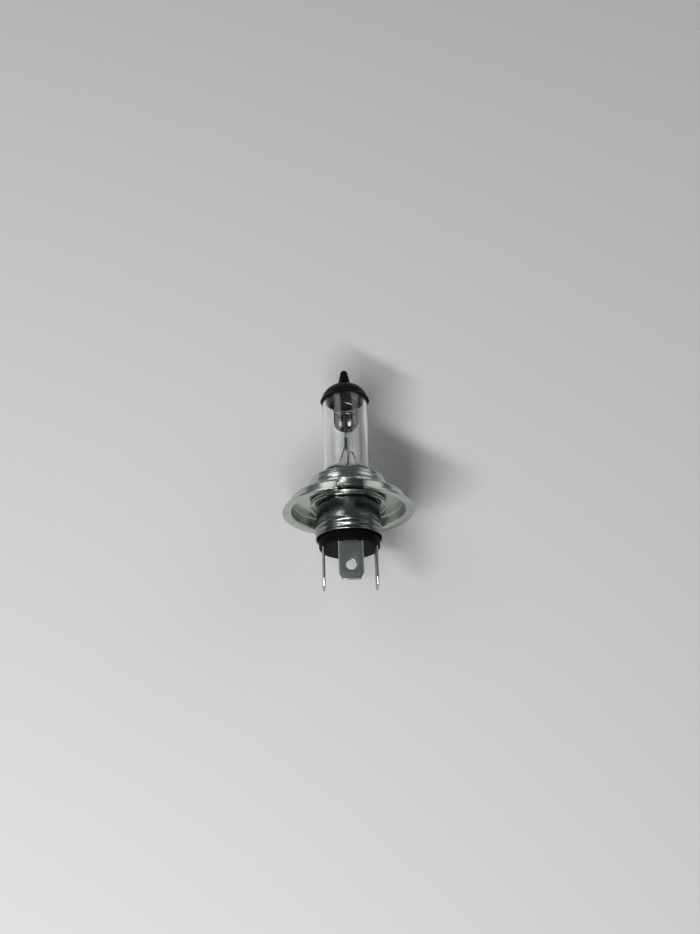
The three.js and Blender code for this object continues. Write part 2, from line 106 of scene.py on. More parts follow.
def filleted(points, radius, closed=False, least_turn=35, steps=4):
    """An outline with rounded corners, where there is room. One that turns by fewer degrees stays."""
    made = []
    count = len(points)
    for i, point in enumerate(points):
        if not closed and i in (0, count - 1):
            made.append(tuple(point))
            continue
        corner = Vector(point)
        back = Vector(points[i - 1]) - corner
        ahead = Vector(points[(i + 1) % count]) - corner
        turn = math.pi - back.angle(ahead, math.pi)
        if turn < math.radians(least_turn):
            made.append(tuple(point))
            continue
        room = min(back.length, ahead.length) * ROOM_SHARE
        reach = min(radius * math.tan(turn / 2), room)
        first = corner + back.normalized() * reach
        last = corner + ahead.normalized() * reach
        for step in range(steps + 1):
            t = step / steps
            made.append(tuple(first * (1 - t) ** 2 + corner * 2 * t * (1 - t) + last * t ** 2))
    return made


def offset(path, distance):
    """An open path moved sideways, to its left, by a distance."""
    made = []
    for i, point in enumerate(path):
        before = Vector(point) - Vector(path[max(i - 1, 0)])
        after = Vector(path[min(i + 1, len(path) - 1)]) - Vector(point)
        along = before.normalized() + after.normalized()
        mitre = along.length / 2 if before.length and after.length else 1
        along.normalize()
        across = Vector((-along.y, along.x)) * (distance / max(mitre, SHARP_MITRE))
        made.append((point[0] + across.x, point[1] + across.y))
    return made


def sheet_outline(path, thickness, edge=SHEARED_EDGE):
    """The closed section of a sheet whose outer face follows a path, with its sheared edges softened."""
    return filleted(path + offset(path, thickness)[::-1], edge, closed=True, least_turn=60, steps=3)


# ---- Meshes --------------------------------------------------------

def round_ring(radius, station):
    """Points on a circle about the lamp axis."""
    points = []
    for i in range(TURN_STEPS):
        angle = 2 * math.pi * i / TURN_STEPS
        points.append((radius * math.sin(angle), station, radius * math.cos(angle)))
    return points


def turned(profile, closed=True):
    """A profile of (radius, station) points turned about the lamp axis, as a bmesh in millimetres."""
    built = bmesh.new()
    rings = []
    spaced = [point for i, point in enumerate(profile) if math.dist(point, profile[i - 1]) > SLIVER]
    for radius, station in spaced:
        if radius < SLIVER:
            rings.append([built.verts.new((0, station, 0))])
            continue
        rings.append([built.verts.new(point) for point in round_ring(radius, station)])
    if closed and len(rings[0]) > 1:
        rings.append(rings[0])
    skin(built, rings)
    return built


def join_rings(built, lower, upper):
    """Faces between two rings of vertices, or between a ring and a single point."""
    steps = max(len(lower), len(upper))
    for i in range(steps):
        j = (i + 1) % steps
        if len(lower) == 1:
            corners = [lower[0], upper[j], upper[i]]
        elif len(upper) == 1:
            corners = [lower[i], lower[j], upper[0]]
        else:
            corners = [lower[i], lower[j], upper[j], upper[i]]
        if len(set(corners)) > 2:
            built.faces.new(corners)


def skin(built, rings):
    """Faces between each ring and the next, all facing outward."""
    for lower, upper in zip(rings, rings[1:]):
        join_rings(built, lower, upper)
    bmesh.ops.recalc_face_normals(built, faces=built.faces)


def smooth_path(points, samples):
    """A Catmull-Rom curve through the points."""
    knots = [Vector(point) for point in points]
    knots = [2 * knots[0] - knots[1]] + knots + [2 * knots[-1] - knots[-2]]
    made = []
    for i in range(1, len(knots) - 2):
        a, b, c, d = knots[i - 1:i + 3]
        for step in range(samples):
            t = step / samples
            made.append(0.5 * (2 * b + (c - a) * t + (2 * a - 5 * b + 4 * c - d) * t ** 2
                               + (3 * b - a - 3 * c + d) * t ** 3))
    return made + [knots[-2]]


def tube(path, radius, sides=14):
    """A round wire along a path, with its ends rounded by two smaller rings and a point."""
    built = bmesh.new()
    points = [Vector(point) for point in path]
    tangents = []
    for i in range(len(points)):
        ahead = points[min(i + 1, len(points) - 1)] - points[max(i - 1, 0)]
        tangents.append(ahead.normalized())
    side = tangents[0].orthogonal().normalized()
    stations = []
    for i, point in enumerate(points):
        side = (side - tangents[i] * side.dot(tangents[i])).normalized()
        stations.append((point, side.copy(), tangents[i].cross(side), radius))
    starts = []
    ends = []
    for share in WIRE_END_RINGS:
        narrowed = radius * math.sqrt(1 - share ** 2)
        starts.insert(0, (points[0] - tangents[0] * radius * share, *stations[0][1:3], narrowed))
        ends.append((points[-1] + tangents[-1] * radius * share, *stations[-1][1:3], narrowed))
    rings = []
    for centre, right, up, size in starts + stations + ends:
        ring = []
        for i in range(sides):
            angle = 2 * math.pi * i / sides
            ring.append(built.verts.new(centre + (right * math.cos(angle) + up * math.sin(angle)) * size))
        rings.append(ring)
    rings.insert(0, [built.verts.new(points[0] - tangents[0] * radius)])
    rings.append([built.verts.new(points[-1] + tangents[-1] * radius)])
    skin(built, rings)
    return built


def linked(name, data):
    """A new object in the scene."""
    made = bpy.data.objects.new(name, data)
    bpy.context.scene.collection.objects.link(made)
    return made


def evaluated(source):
    """A bmesh of an object as its curve or its modifiers make it."""
    bpy.context.view_layer.update()
    mesh = bpy.data.meshes.new_from_object(source.evaluated_get(bpy.context.evaluated_depsgraph_get()))
    built = bmesh.new()
    built.from_mesh(mesh)
    bpy.data.meshes.remove(mesh)
    return built


def plate(loops, thickness, edge):
    """A flat plate with softened edges, centred on Z = 0, from outlines in X and Y, the outer one first."""
    curve = bpy.data.curves.new("helper", "CURVE")
    curve.dimensions = "2D"
    curve.fill_mode = "BOTH"
    curve.extrude = thickness / 2 - edge
    curve.bevel_depth = edge
    curve.bevel_resolution = 2
    curve.offset = -edge
    for loop in loops:
        spline = curve.splines.new("POLY")
        spline.points.add(len(loop) - 1)
        for point, (x, y) in zip(spline.points, loop):
            point.co = (x, y, 0, 1)
        spline.use_cyclic_u = True
    helper = linked("helper", curve)
    built = evaluated(helper)
    bmesh.ops.remove_doubles(built, verts=built.verts, dist=WELD)
    bmesh.ops.recalc_face_normals(built, faces=built.faces)
    bpy.data.objects.remove(helper)
    bpy.data.curves.remove(curve)
    return built


def block(size, place, rotation=0.0):
    """A box of a size in X, Y and Z, turned about the lamp axis by an angle in degrees."""
    built = bmesh.new()
    bmesh.ops.create_cube(built, size=1)
    around = Matrix.Rotation(math.radians(rotation), 4, "Y")
    built.transform(around @ Matrix.Translation(place) @ Matrix.Diagonal((*size, 1)))
    return built


def moved(built, matrix):
    """The same bmesh, once it is transformed."""
    built.transform(matrix)
    return built


def mesh_of(built, name):
    """A mesh in metres from a bmesh in millimetres."""
    built.transform(Matrix.Scale(MM, 4))
    mesh = bpy.data.meshes.new(name)
    built.to_mesh(mesh)
    built.free()
    return mesh


def helper_object(built):
    """An object for a modifier to work on or with, from a bmesh that isn't needed afterwards."""
    helper = linked("helper", bpy.data.meshes.new("helper"))
    built.to_mesh(helper.data)
    built.free()
    return helper


def combined(base, others, operation):
    """A bmesh cut or joined with others, one after another."""
    target = helper_object(base)
    tools = [helper_object(other) for other in others]
    for tool in tools:
        boolean = target.modifiers.new("cut", "BOOLEAN")
        boolean.operation = operation
        boolean.solver = "EXACT"
        boolean.object = tool
    built = evaluated(target)
    bmesh.ops.remove_doubles(built, verts=built.verts, dist=SLIVER)
    bmesh.ops.dissolve_degenerate(built, edges=built.edges, dist=SLIVER)
    for helper in [target] + tools:
        bpy.data.objects.remove(helper)
    return built


def piece(name, built, material, nodes, smooth_angle=40, edge=0.0):
    """A finished object that stands for CAD nodes, rides on the one body and has a material."""
    mesh = mesh_of(built, name)
    mesh.polygons.foreach_set("use_smooth", [True] * len(mesh.polygons))
    mesh.set_sharp_from_angle(angle=math.radians(smooth_angle))
    mesh.materials.append(material)
    made = linked(name, mesh)
    if edge:
        bevel = made.modifiers.new("edge", "BEVEL")
        bevel.width = edge * MM
        bevel.segments = 2
        bevel.limit_method = "ANGLE"
        bevel.angle_limit = math.radians(smooth_angle)
    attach(made, "root")
    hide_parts(*nodes)
    return made


# ---- Materials -----------------------------------------------------

class Shader:
    """A principled material with short calls for the nodes that colour and roughen it."""

    def __init__(self, name, **sockets):
        self.material = bpy.data.materials.new(name)
        self.material.use_nodes = True
        self.tree = self.material.node_tree
        self.surface = self.tree.nodes["Principled BSDF"]
        for socket, value in sockets.items():
            self.surface.inputs[socket.replace("_", " ")].default_value = value
        self.place = self.add("ShaderNodeTexCoord").outputs["Object"]

    def add(self, kind, **settings):
        node = self.tree.nodes.new(kind)
        for setting, value in settings.items():
            setattr(node, setting, value)
        return node

    def link(self, output, target):
        self.tree.links.new(output, target)

    def stretched(self, scale):
        """Object coordinates scaled on each axis, so that a pattern can run along one."""
        mapping = self.add("ShaderNodeMapping")
        mapping.inputs["Scale"].default_value = scale
        self.link(self.place, mapping.inputs["Vector"])
        return mapping.outputs["Vector"]

    def round_the_axis(self, radial_scale, axial_scale):
        """Coordinates that only change with the distance from the lamp axis and the station along it."""
        apart = self.add("ShaderNodeSeparateXYZ")
        self.link(self.place, apart.inputs["Vector"])
        flat = self.add("ShaderNodeCombineXYZ")
        self.link(apart.outputs["X"], flat.inputs["X"])
        self.link(apart.outputs["Z"], flat.inputs["Z"])
        radius = self.add("ShaderNodeVectorMath", operation="LENGTH")
        self.link(flat.outputs["Vector"], radius.inputs[0])
        across = self.scaled(radius.outputs["Value"], radial_scale)
        along = self.scaled(apart.outputs["Y"], axial_scale)
        joined = self.add("ShaderNodeCombineXYZ")
        self.link(across, joined.inputs["X"])
        self.link(along, joined.inputs["Y"])
        return joined.outputs["Vector"]

    def scaled(self, output, factor):
        times = self.add("ShaderNodeMath", operation="MULTIPLY")
        times.inputs[1].default_value = factor
        self.link(output, times.inputs[0])
        return times.outputs["Value"]

    def noise(self, vector, scale, detail=3.0, roughness=0.55):
        texture = self.add("ShaderNodeTexNoise")
        texture.inputs["Scale"].default_value = scale
        texture.inputs["Detail"].default_value = detail
        texture.inputs["Roughness"].default_value = roughness
        self.link(vector, texture.inputs["Vector"])
        return texture.outputs["Fac"]

    def ranged(self, value, low, high, start=0.3, end=0.7):
        """A pattern's values between start and end, spread from low to high."""
        spread = self.add("ShaderNodeMapRange")
        spread.inputs["From Min"].default_value = start
        spread.inputs["From Max"].default_value = end
        spread.inputs["To Min"].default_value = low
        spread.inputs["To Max"].default_value = high
        self.link(value, spread.inputs["Value"])
        return spread.outputs["Result"]

    def blend(self, factor, first, second):
        """A mix of two, each of which is a plain colour or another node's output."""
        mix = self.add("ShaderNodeMix", data_type="RGBA")
        for socket, colour in (("A", first), ("B", second)):
            target = [s for s in mix.inputs if s.name == socket and s.type == "RGBA"][0]
            if hasattr(colour, "links"):
                self.link(colour, target)
            else:
                target.default_value = (*colour, 1)
        self.link(factor, mix.inputs["Factor"])
        return [s for s in mix.outputs if s.type == "RGBA"][0]

    def colour(self, output):
        self.link(output, self.surface.inputs["Base Color"])

    def rough(self, output):
        self.link(output, self.surface.inputs["Roughness"])

    def bump(self, heights, strength, distance=0.02):
        """Bump from several heights, one over another."""
        normal = None
        for height in heights:
            node = self.add("ShaderNodeBump")
            node.inputs["Strength"].default_value = strength
            node.inputs["Distance"].default_value = distance * MM
            self.link(height, node.inputs["Height"])
            if normal:
                self.link(normal, node.inputs["Normal"])
            normal = node.outputs["Normal"]
        self.link(normal, self.surface.inputs["Normal"])


def nickel_material():
    """Pressed steel with bright plating: fine lines round the axis, faint cloudy tarnish."""
    shader = Shader("bright_nickel", Metallic=1.0)
    lines = shader.noise(shader.round_the_axis(9000, 9000), 1.0, 2.0)
    clouds = shader.noise(shader.place, 260, 4.0)
    tint = shader.blend(shader.ranged(clouds, 0, 1), (0.46, 0.49, 0.46), (0.58, 0.60, 0.565))
    shader.colour(shader.blend(shader.ranged(lines, 0, 0.25), tint, (0.34, 0.36, 0.345)))
    shader.rough(shader.ranged(clouds, 0.16, 0.28))
    shader.bump([lines], 0.12)
    return shader.material


def shell_material():
    """Drawn steel with darker plating."""
    shader = Shader("dark_shell", Metallic=1.0)
    lines = shader.noise(shader.round_the_axis(6000, 12000), 1.0, 2.0)
    clouds = shader.noise(shader.place, 300, 4.0)
    shader.colour(shader.blend(shader.ranged(clouds, 0, 1), (0.22, 0.24, 0.235), (0.27, 0.29, 0.285)))
    shader.rough(shader.ranged(clouds, 0.17, 0.23))
    shader.bump([lines], 0.1)
    return shader.material


def blade_material():
    """Tinned strip: matt, with rolling lines along it and small dull spots."""
    shader = Shader("blade_metal", Metallic=1.0)
    lines = shader.noise(shader.stretched((6000, 350, 6000)), 1.0, 3.0)
    spots = shader.noise(shader.place, 1500, 2.0)
    tint = shader.blend(shader.ranged(lines, 0, 1), (0.27, 0.29, 0.285), (0.34, 0.36, 0.355))
    shader.colour(shader.blend(shader.ranged(spots, 0, 0.5, 0.55, 0.75), tint, (0.22, 0.235, 0.23)))
    shader.rough(shader.ranged(lines, 0.42, 0.52))
    shader.bump([lines, spots], 0.15)
    return shader.material


def sheared_edge_material():
    """The bright, smeared edge that a press leaves on a blade."""
    shader = Shader("sheared_edge", Metallic=1.0)
    lines = shader.noise(shader.stretched((900, 900, 9000)), 1.0, 2.0)
    shader.colour(shader.blend(shader.ranged(lines, 0, 1), (0.34, 0.36, 0.35), (0.46, 0.48, 0.47)))
    shader.rough(shader.ranged(lines, 0.2, 0.32))
    shader.bump([lines], 0.15)
    return shader.material


def plastic_material():
    """Black thermoset moulding."""
    shader = Shader("black_plastic", Specular_IOR_Level=0.04)
    grain = shader.noise(shader.place, 2600, 3.0)
    flow = shader.noise(shader.place, 180, 3.0)
    shader.colour(shader.blend(shader.ranged(flow, 0, 1), (0.002, 0.0025, 0.0022), (0.004, 0.005, 0.0045)))
    shader.rough(shader.ranged(grain, 0.42, 0.6))
    shader.bump([grain, flow], 0.12, 0.03)
    return shader.material


def coating_material():
    """Black heat-proof paint, dipped and baked, so a little uneven."""
    shader = Shader("black_coating", Specular_IOR_Level=0.1)
    runs = shader.noise(shader.stretched((420, 160, 420)), 1.0, 3.0)
    grain = shader.noise(shader.place, 3200, 2.0)
    shader.colour(shader.blend(shader.ranged(runs, 0, 1), (0.003, 0.005, 0.0047), (0.007, 0.010, 0.0095)))
    shader.rough(shader.ranged(runs, 0.4, 0.52))
    shader.bump([runs, grain], 0.18, 0.03)
    return shader.material


def glass_material():
    """Clear hard glass with faint drawing lines."""
    shader = Shader("clear_glass", Base_Color=(0.98, 0.99, 0.985, 1), Transmission_Weight=1.0, IOR=1.49)
    lines = shader.noise(shader.stretched((500, 18, 500)), 1.0, 2.0)
    shader.rough(shader.ranged(lines, 0.0, 0.02))
    shader.bump([lines], 0.05)
    return shader.material


def molybdenum_material():
    """Bare molybdenum sheet and wire, bright with drawing lines and a trace of heat colour."""
    shader = Shader("molybdenum", Metallic=1.0)
    lines = shader.noise(shader.stretched((5000, 500, 5000)), 1.0, 2.0)
    heat = shader.noise(shader.place, 220, 2.0)
    tint = shader.blend(shader.ranged(heat, 0, 1), (0.50, 0.52, 0.52), (0.62, 0.62, 0.60))
    shader.colour(shader.blend(shader.ranged(lines, 0, 0.35), tint, (0.36, 0.37, 0.38)))
    shader.rough(shader.ranged(lines, 0.08, 0.18))
    shader.bump([lines], 0.12)
    return shader.material


def tungsten_material():
    """Grey tungsten wire with drawing marks."""
    shader = Shader("tungsten", Metallic=1.0)
    marks = shader.noise(shader.place, 5200, 3.0)
    shader.colour(shader.blend(shader.ranged(marks, 0, 1), (0.10, 0.10, 0.10), (0.22, 0.22, 0.215)))
    shader.rough(shader.ranged(marks, 0.25, 0.42))
    shader.bump([marks], 0.2)
    return shader.material


nickel = nickel_material()
shell_metal = shell_material()
blade_metal = blade_material()
sheared_edge = sheared_edge_material()
black_plastic = plastic_material()
black_paint = coating_material()
clear_glass = glass_material()
molybdenum = molybdenum_material()
tungsten = tungsten_material()


# ---- Flange, collar, ring and shell --------------------------------

FIT = 0.3  # clearance between pieces that touch on the real lamp, and a small margin elsewhere

FLANGE_SHEET = 0.6
SKIRT_INSET = 2.5  # from the brim's edge to the skirt
SKIRT_CORNER = 1.0
BRIM_FILLET = 0.4

WIDE_LUG = 8.0
NARROW_LUG = 6.2
LUG_ANGLE = 120  # degrees from the wide lug to each narrow one
LUG_SHEET = 0.64
LUG_STATION = 3.2  # of the lugs' rear faces
LUG_END = 6.0  # radius of a lug's rounded end
LUG_CORNER = 0.4
LUG_EDGE = 0.1
LUG_BEND = 0.5  # radius of the bends where the wide lug is set down

COLLAR_SHEET = 0.5
COLLAR_FOOT_HEIGHT = 3.0
COLLAR_BAND_HEIGHT = 2.0
COLLAR_BAND_STEP = 0.25  # how far the middle band stands in from the foot
COLLAR_TOP_STEP = 0.65  # and the top band from the middle one
COLLAR_GROOVE = 0.4
COLLAR_ROUND = 0.7
COLLAR_LIP = 2.2  # width of the lip turned in at the top
COLLAR_BEND = 0.35

RING_SHEET = 0.5
RING_ROUND = 0.65
RING_NOTCH = (3.0, 1.0, 3.0)
RING_NOTCHES = 6

SHELL_SHEET = 0.45
SHELL_EDGE = 0.08  # radius left on its sheared edge, and on the shield's
BEAD = 0.45  # how far a rolled bead stands out
BEAD_PITCH = 1.8
BEADS = 2
BEAD_START = 1 / 3  # share of the first bead that the rear end cuts off
BEAD_STEPS = 16
BEAD_RUNOUT = 0.4  # share of a pitch in which the last bead dies away
MARK_ANGLES = (5, 125, 245)  # where the sleeve is punched, in degrees about the axis
MARK_FROM_REAR = 4.3
MARK_RADIUS = 0.75
MARK_DEPTH = 0.22
MARK_ALONG = 0.6  # the lower, the longer a mark is along the axis


def shell_radius():
    """The outer radius of the shell between its beads and the flange."""
    return span("base_shell")[1].x - BEAD


def lug(width, root, reach, angle):
    """A flat lug with a rounded end, standing out from the lamp axis at an angle in degrees."""
    half = width / 2
    sweep = math.degrees(math.asin(half / LUG_END))
    outline = [(half, -root), (-half, -root)]
    outline += arc((0, LUG_END - reach), (LUG_END, LUG_END), 270 - sweep, 270 + sweep, 16)
    outline = filleted(outline, LUG_CORNER, closed=True, least_turn=20)
    built = upright(plate([outline], LUG_SHEET, LUG_EDGE), LUG_STATION + LUG_SHEET / 2)
    return moved(built, Matrix.Rotation(math.radians(angle), 4, "Y"))


def joggle(width, root, plate_face):
    """The short wall by which the wide lug hangs below the plate, bent at both ends."""
    inner = root - FLANGE_SHEET
    held = inner - FLANGE_SHEET / 2
    ahead = root + FLANGE_SHEET
    under = plate_face - FLANGE_SHEET
    over = LUG_STATION + LUG_SHEET
    outline = filleted([(held, under), (inner, under), (inner, LUG_STATION), (ahead, LUG_STATION)],
                       LUG_BEND / 2, least_turn=20)
    outline += filleted([(ahead, over), (root, over), (root, plate_face), (held, plate_face)],
                        LUG_BEND, least_turn=20)
    built = bmesh.new()
    near = [built.verts.new((-width / 2, station, radius)) for radius, station in outline]
    far = [built.verts.new((width / 2, station, radius)) for radius, station in outline]
    join_rings(built, near, far)
    built.faces.new(near[::-1])
    built.faces.new(far)
    bmesh.ops.recalc_face_normals(built, faces=built.faces)
    return built


def make_flange():
    """Brim, skirt and plate in one pressing. The wide lug is set down over a window, the others stand out."""
    high = span("prefocus_flange")[1]
    brim = high.x
    skirt = brim - SKIRT_INSET
    plate_face = high.y
    path = [(brim, FLANGE_SHEET)]
    path += arc((skirt + BRIM_FILLET, FLANGE_SHEET + BRIM_FILLET), (BRIM_FILLET, BRIM_FILLET), 270, 180, 5)
    path += arc((skirt - SKIRT_CORNER, plate_face - SKIRT_CORNER), (SKIRT_CORNER, SKIRT_CORNER), 0, 90, 8)
    path += [(shell_radius() + FIT, plate_face)]
    root = skirt - SKIRT_CORNER - FLANGE_SHEET
    reach = brim - root + FIT
    window = block((WIDE_LUG + FIT, 2 * plate_face, reach), (0, plate_face - FIT, root + reach / 2))
    dish = combined(turned(sheet_outline(path, FLANGE_SHEET)), [window], "DIFFERENCE")
    lugs = [joggle(WIDE_LUG, root, plate_face), lug(WIDE_LUG, root, brim, 0)]
    for angle in (LUG_ANGLE, -LUG_ANGLE):
        lugs.append(lug(NARROW_LUG, skirt - FLANGE_SHEET / 2, brim, angle))
    dish = combined(dish, lugs, "UNION")
    return piece("flange_pressing", dish, nickel, ["prefocus_flange"], 35, BROKEN_EDGE)


def make_collar():
    """Three bands with grooves between them and a lip turned in at the top."""
    low, high = span("upper_collar")
    foot = high.x
    band = foot - COLLAR_BAND_STEP
    top = band - COLLAR_TOP_STEP
    first = low.y + COLLAR_FOOT_HEIGHT
    second = first + COLLAR_BAND_HEIGHT
    groove = COLLAR_GROOVE
    path = [(foot, low.y), (foot, first - groove), (band - groove / 2, first), (band, first + groove)]
    path += [(band, second - groove), (top - groove / 2, second)]
    path += arc((top - COLLAR_ROUND, high.y - COLLAR_ROUND), (COLLAR_ROUND, COLLAR_ROUND), 0, 90, 8)
    path += [(top - COLLAR_LIP, high.y)]
    outline = sheet_outline(filleted(path, COLLAR_BEND, least_turn=15), COLLAR_SHEET)
    return piece("collar_pressing", turned(outline), nickel, ["upper_collar"])


def make_centring_ring():
    """A channel-edged ring under the plate, notched all round into small tongues."""
    low, high = span("centring_ring")
    outer = high.x
    path = [(outer, low.y)]
    path += arc((outer - RING_ROUND, high.y - RING_ROUND), (RING_ROUND, RING_ROUND), 0, 90, 6)
    path += [(shell_radius() + FIT, high.y)]
    notches = []
    for i in range(RING_NOTCHES):
        notches.append(block(RING_NOTCH, (0, low.y, outer), (i + 0.5) * 360 / RING_NOTCHES))
    ring = combined(turned(sheet_outline(path, RING_SHEET)), notches, "DIFFERENCE")
    return piece("centring_ring_pressing", ring, nickel, ["centring_ring"], 35, BROKEN_EDGE)


def make_shell():
    """A drawn sleeve with two rolled beads at its rear end and three small punched marks."""
    low, high = span("base_shell")
    body = shell_radius()
    path = []
    for i in range(BEADS * BEAD_STEPS + 1):
        turn = 2 * math.pi * (i + BEAD_STEPS * BEAD_START) / BEAD_STEPS
        path.append((body + BEAD * (1 - math.cos(turn)) / 2, low.y + i * BEAD_PITCH / BEAD_STEPS))
    last = path[-1][0]
    for i in range(1, BEAD_STEPS):
        t = i / BEAD_STEPS
        fade = (1 - t) ** 2 * (1 + 2 * t)
        path.append((body + (last - body) * fade, low.y + (BEADS + BEAD_RUNOUT * t) * BEAD_PITCH))
    rows = 14
    start = path[-1][1]
    path += [(body, start + (high.y - start) * (i + 1) / rows) for i in range(rows)]
    sleeve = turned(sheet_outline(path, SHELL_SHEET, SHELL_EDGE))
    for angle in MARK_ANGLES:
        punch(sleeve, angle, low.y + MARK_FROM_REAR, body)
    return piece("shell_sleeve", sleeve, shell_metal, ["base_shell"])


def punch(built, angle, station, radius):
    """A small mark pressed into a sleeve."""
    turn = math.radians(angle)
    centre = Vector((radius * math.sin(turn), station, radius * math.cos(turn)))
    inward = Vector((-math.sin(turn), 0, -math.cos(turn)))
    for vertex in built.verts:
        apart = vertex.co - centre
        away = Vector((apart.x, apart.y * MARK_ALONG, apart.z)).length / MARK_RADIUS
        if away < 1:
            vertex.co += inward * MARK_DEPTH * (1 - away ** 2) ** 2


# ---- Insulator and blades ------------------------------------------

BLADES = (("terminal_top", 0), ("terminal_right", 90), ("terminal_left", -90))  # angles about the axis

INSULATOR_EDGE = 0.5
INSULATOR_ROUND = 0.2
RECESS_RADIUS = 3.6
RECESS_DEPTH = 0.5
RECESS_DRAFT = 0.2

BLADE_WIDTH = 8.0
BLADE_THICKNESS = 0.8
BLADE_EDGE = 0.28  # radius of its softened edges
BLADE_CORNER = 0.25
CHAMFER_WIDTH = 1.2
CHAMFER_LENGTH = 2.4
HOLE_RADIUS = 1.65
HOLE_FROM_END = 4.9
GRIP_WIDTH = 5.0
GRIP_LENGTH = 3.0
TAIL_WIDTH = 3.0
SHOULDER_GAP = 0.05
FLAT_FACE = 0.98  # least part of a face's normal across the blade, for the blade's own finish


def blade_distance(node):
    """How far a blade's middle is from the lamp axis."""
    centre = middle(node)
    return max(abs(centre.x), abs(centre.z))


def make_insulator():
    """A moulded disc with a shallow round recess at its middle."""
    low, high = span("insulator_disc")
    outer = high.x
    rear = low.y
    profile = [(0, rear + RECESS_DEPTH), (RECESS_RADIUS, rear + RECESS_DEPTH)]
    profile += [(RECESS_RADIUS + RECESS_DRAFT, rear), (outer - INSULATOR_EDGE, rear)]
    profile += [(outer, rear + INSULATOR_EDGE), (outer, high.y), (0, high.y)]
    disc = turned(filleted(profile, INSULATOR_ROUND, least_turn=20), closed=False)
    return piece("insulator_moulding", disc, black_plastic, ["insulator_disc"])


def make_blade(node, angle):
    """A flat blade with a hole, cut corners and sheared edges, and its narrow tail inside the base."""
    low, high = span(node)
    half = BLADE_WIDTH / 2
    grip = GRIP_WIDTH / 2
    tail = TAIL_WIDTH / 2
    shoulder = span("insulator_disc")[0].y - SHOULDER_GAP
    grip_end = span("insulator_disc")[0].y + GRIP_LENGTH
    side = [(half - CHAMFER_WIDTH, low.y), (half, low.y + CHAMFER_LENGTH), (half, shoulder)]
    side += [(grip, shoulder), (grip, grip_end), (tail, grip_end), (tail, high.y)]
    outline = filleted(side + [(-x, y) for x, y in side[::-1]], BLADE_CORNER, closed=True, least_turn=20)
    hole = circle((0, low.y + HOLE_FROM_END), HOLE_RADIUS, 48, backward=True)
    built = plate([outline, hole], BLADE_THICKNESS, BLADE_EDGE)
    for face in built.faces:
        face.material_index = 0 if abs(face.normal.z) > FLAT_FACE else 1
    around = Matrix.Rotation(math.radians(angle), 4, "Y")
    moved(built, around @ Matrix.Translation((0, 0, blade_distance(node))))
    blade = piece(node.replace("terminal", "blade"), built, blade_metal, [node])
    blade.data.materials.append(sheared_edge)
    return blade


# ---- Glass and coating ---------------------------------------------

DOME_HEIGHT = 6.1
EXHAUST_RADIUS = 1.85  # at the foot of the exhaust tip
EXHAUST_TAPER = 0.75
EXHAUST_ROUND = 1.3
EXHAUST_FILLET = 1.1

GLASS_WALL = 1.1
PINCH_LENGTH = 13.7  # from the capsule's rear end to where its tube is full width
PINCH_WIDTH = 13.4
PINCH_THICKNESS = 4.2
PINCH_STEPS = 40
PINCH_ROUND = 0.35  # length of its softened rear end
PINCH_END = ((0.0, 0.93), (0.3, 0.98), (1.0, 1.0))  # share of that length, share of the full section
PINCH_SWELL = 0.6  # the lower, the sooner the pinch widens to the tube
PINCH_SQUARENESS = 5  # added to an ellipse's power of two where the pinch is flat
SHOULDER_LENGTH = 3.9  # in which the pinch swells into the tube
TUBE_STEPS = 12
CAVITY_REAR_DEPTH = 1.8

COAT_SKIRT = 0.4  # how far the coating's node reaches down the cylinder
COAT_INSIDE = 0.02  # from the glass to the coating's inner face
COAT_OUTSIDE = 0.24
COAT_RISE = 0.4  # from the node's end to the painted edge
COAT_WAVES = ((0.10, 3, 0.8), (0.05, 7, 0.0), (0.03, 13, 2.0))  # height, number round the edge, phase
COAT_WAVE_REACH = 3.0
# The painted edge's section: how far outside the glass, or inside the node's full radius, and above the edge.
COAT_LIP_INNER = ((0.05, 0.02), (0.3, 0.0))
COAT_LIP_OUTER = ((0.08, 0.02), (0.0, 0.1), (0.05, 0.25))
COAT_LIP_TOP = (0.4, 0.7)
COAT_LIP_COVERS = 3  # points of the coating's outside that give way to the edge


def dome_path(standoff, steps=24):
    """The outside of the dome and exhaust tip, stood off by a distance, from the cylinder to the axis."""
    glass = span("glass_capsule")[1]
    start = span("black_top_coating")[0].y + COAT_SKIRT
    height = DOME_HEIGHT + standoff
    radius = glass.x + standoff
    neck = EXHAUST_RADIUS + EXHAUST_FILLET + standoff
    angle = math.degrees(math.acos(neck / radius))
    path = arc((0, start), (radius, height), 0, angle, steps)
    foot = start + height * math.sin(math.radians(angle)) + EXHAUST_FILLET
    path += arc((neck, foot), (EXHAUST_FILLET, EXHAUST_FILLET), 240, 180, 6)[1:]
    round_radius = EXHAUST_RADIUS - EXHAUST_TAPER + standoff
    round_station = glass.y - EXHAUST_ROUND
    first = Vector(path[-1])
    last = Vector((round_radius, round_station))
    path += [tuple(first.lerp(last, i / 6)) for i in range(1, 6)]
    path += arc((0, round_station), (round_radius, EXHAUST_ROUND + standoff), 0, 90, 12)
    path[-1] = (0, path[-1][1])
    return path


def pinch_ring(station, shoulder, radius, share):
    """Points round the capsule where it changes from a flat pinch to a round tube."""
    depth = min(max((shoulder - station) / SHOULDER_LENGTH, 0), 1)
    curve = math.sqrt(1 - depth ** 2)
    half_width = PINCH_WIDTH / 2
    half_thickness = PINCH_THICKNESS / 2
    width = (half_width + (radius - half_width) * curve ** PINCH_SWELL) * share
    thickness = (half_thickness + (radius - half_thickness) * curve) * share
    power = 2 / (2 + PINCH_SQUARENESS * (1 - curve) ** 1.5)
    points = []
    for i in range(TURN_STEPS):
        angle = 2 * math.pi * i / TURN_STEPS
        x = math.copysign(abs(math.sin(angle)) ** power, math.sin(angle))
        z = math.copysign(abs(math.cos(angle)) ** power, math.cos(angle))
        points.append((x * width, station, z * thickness))
    return points


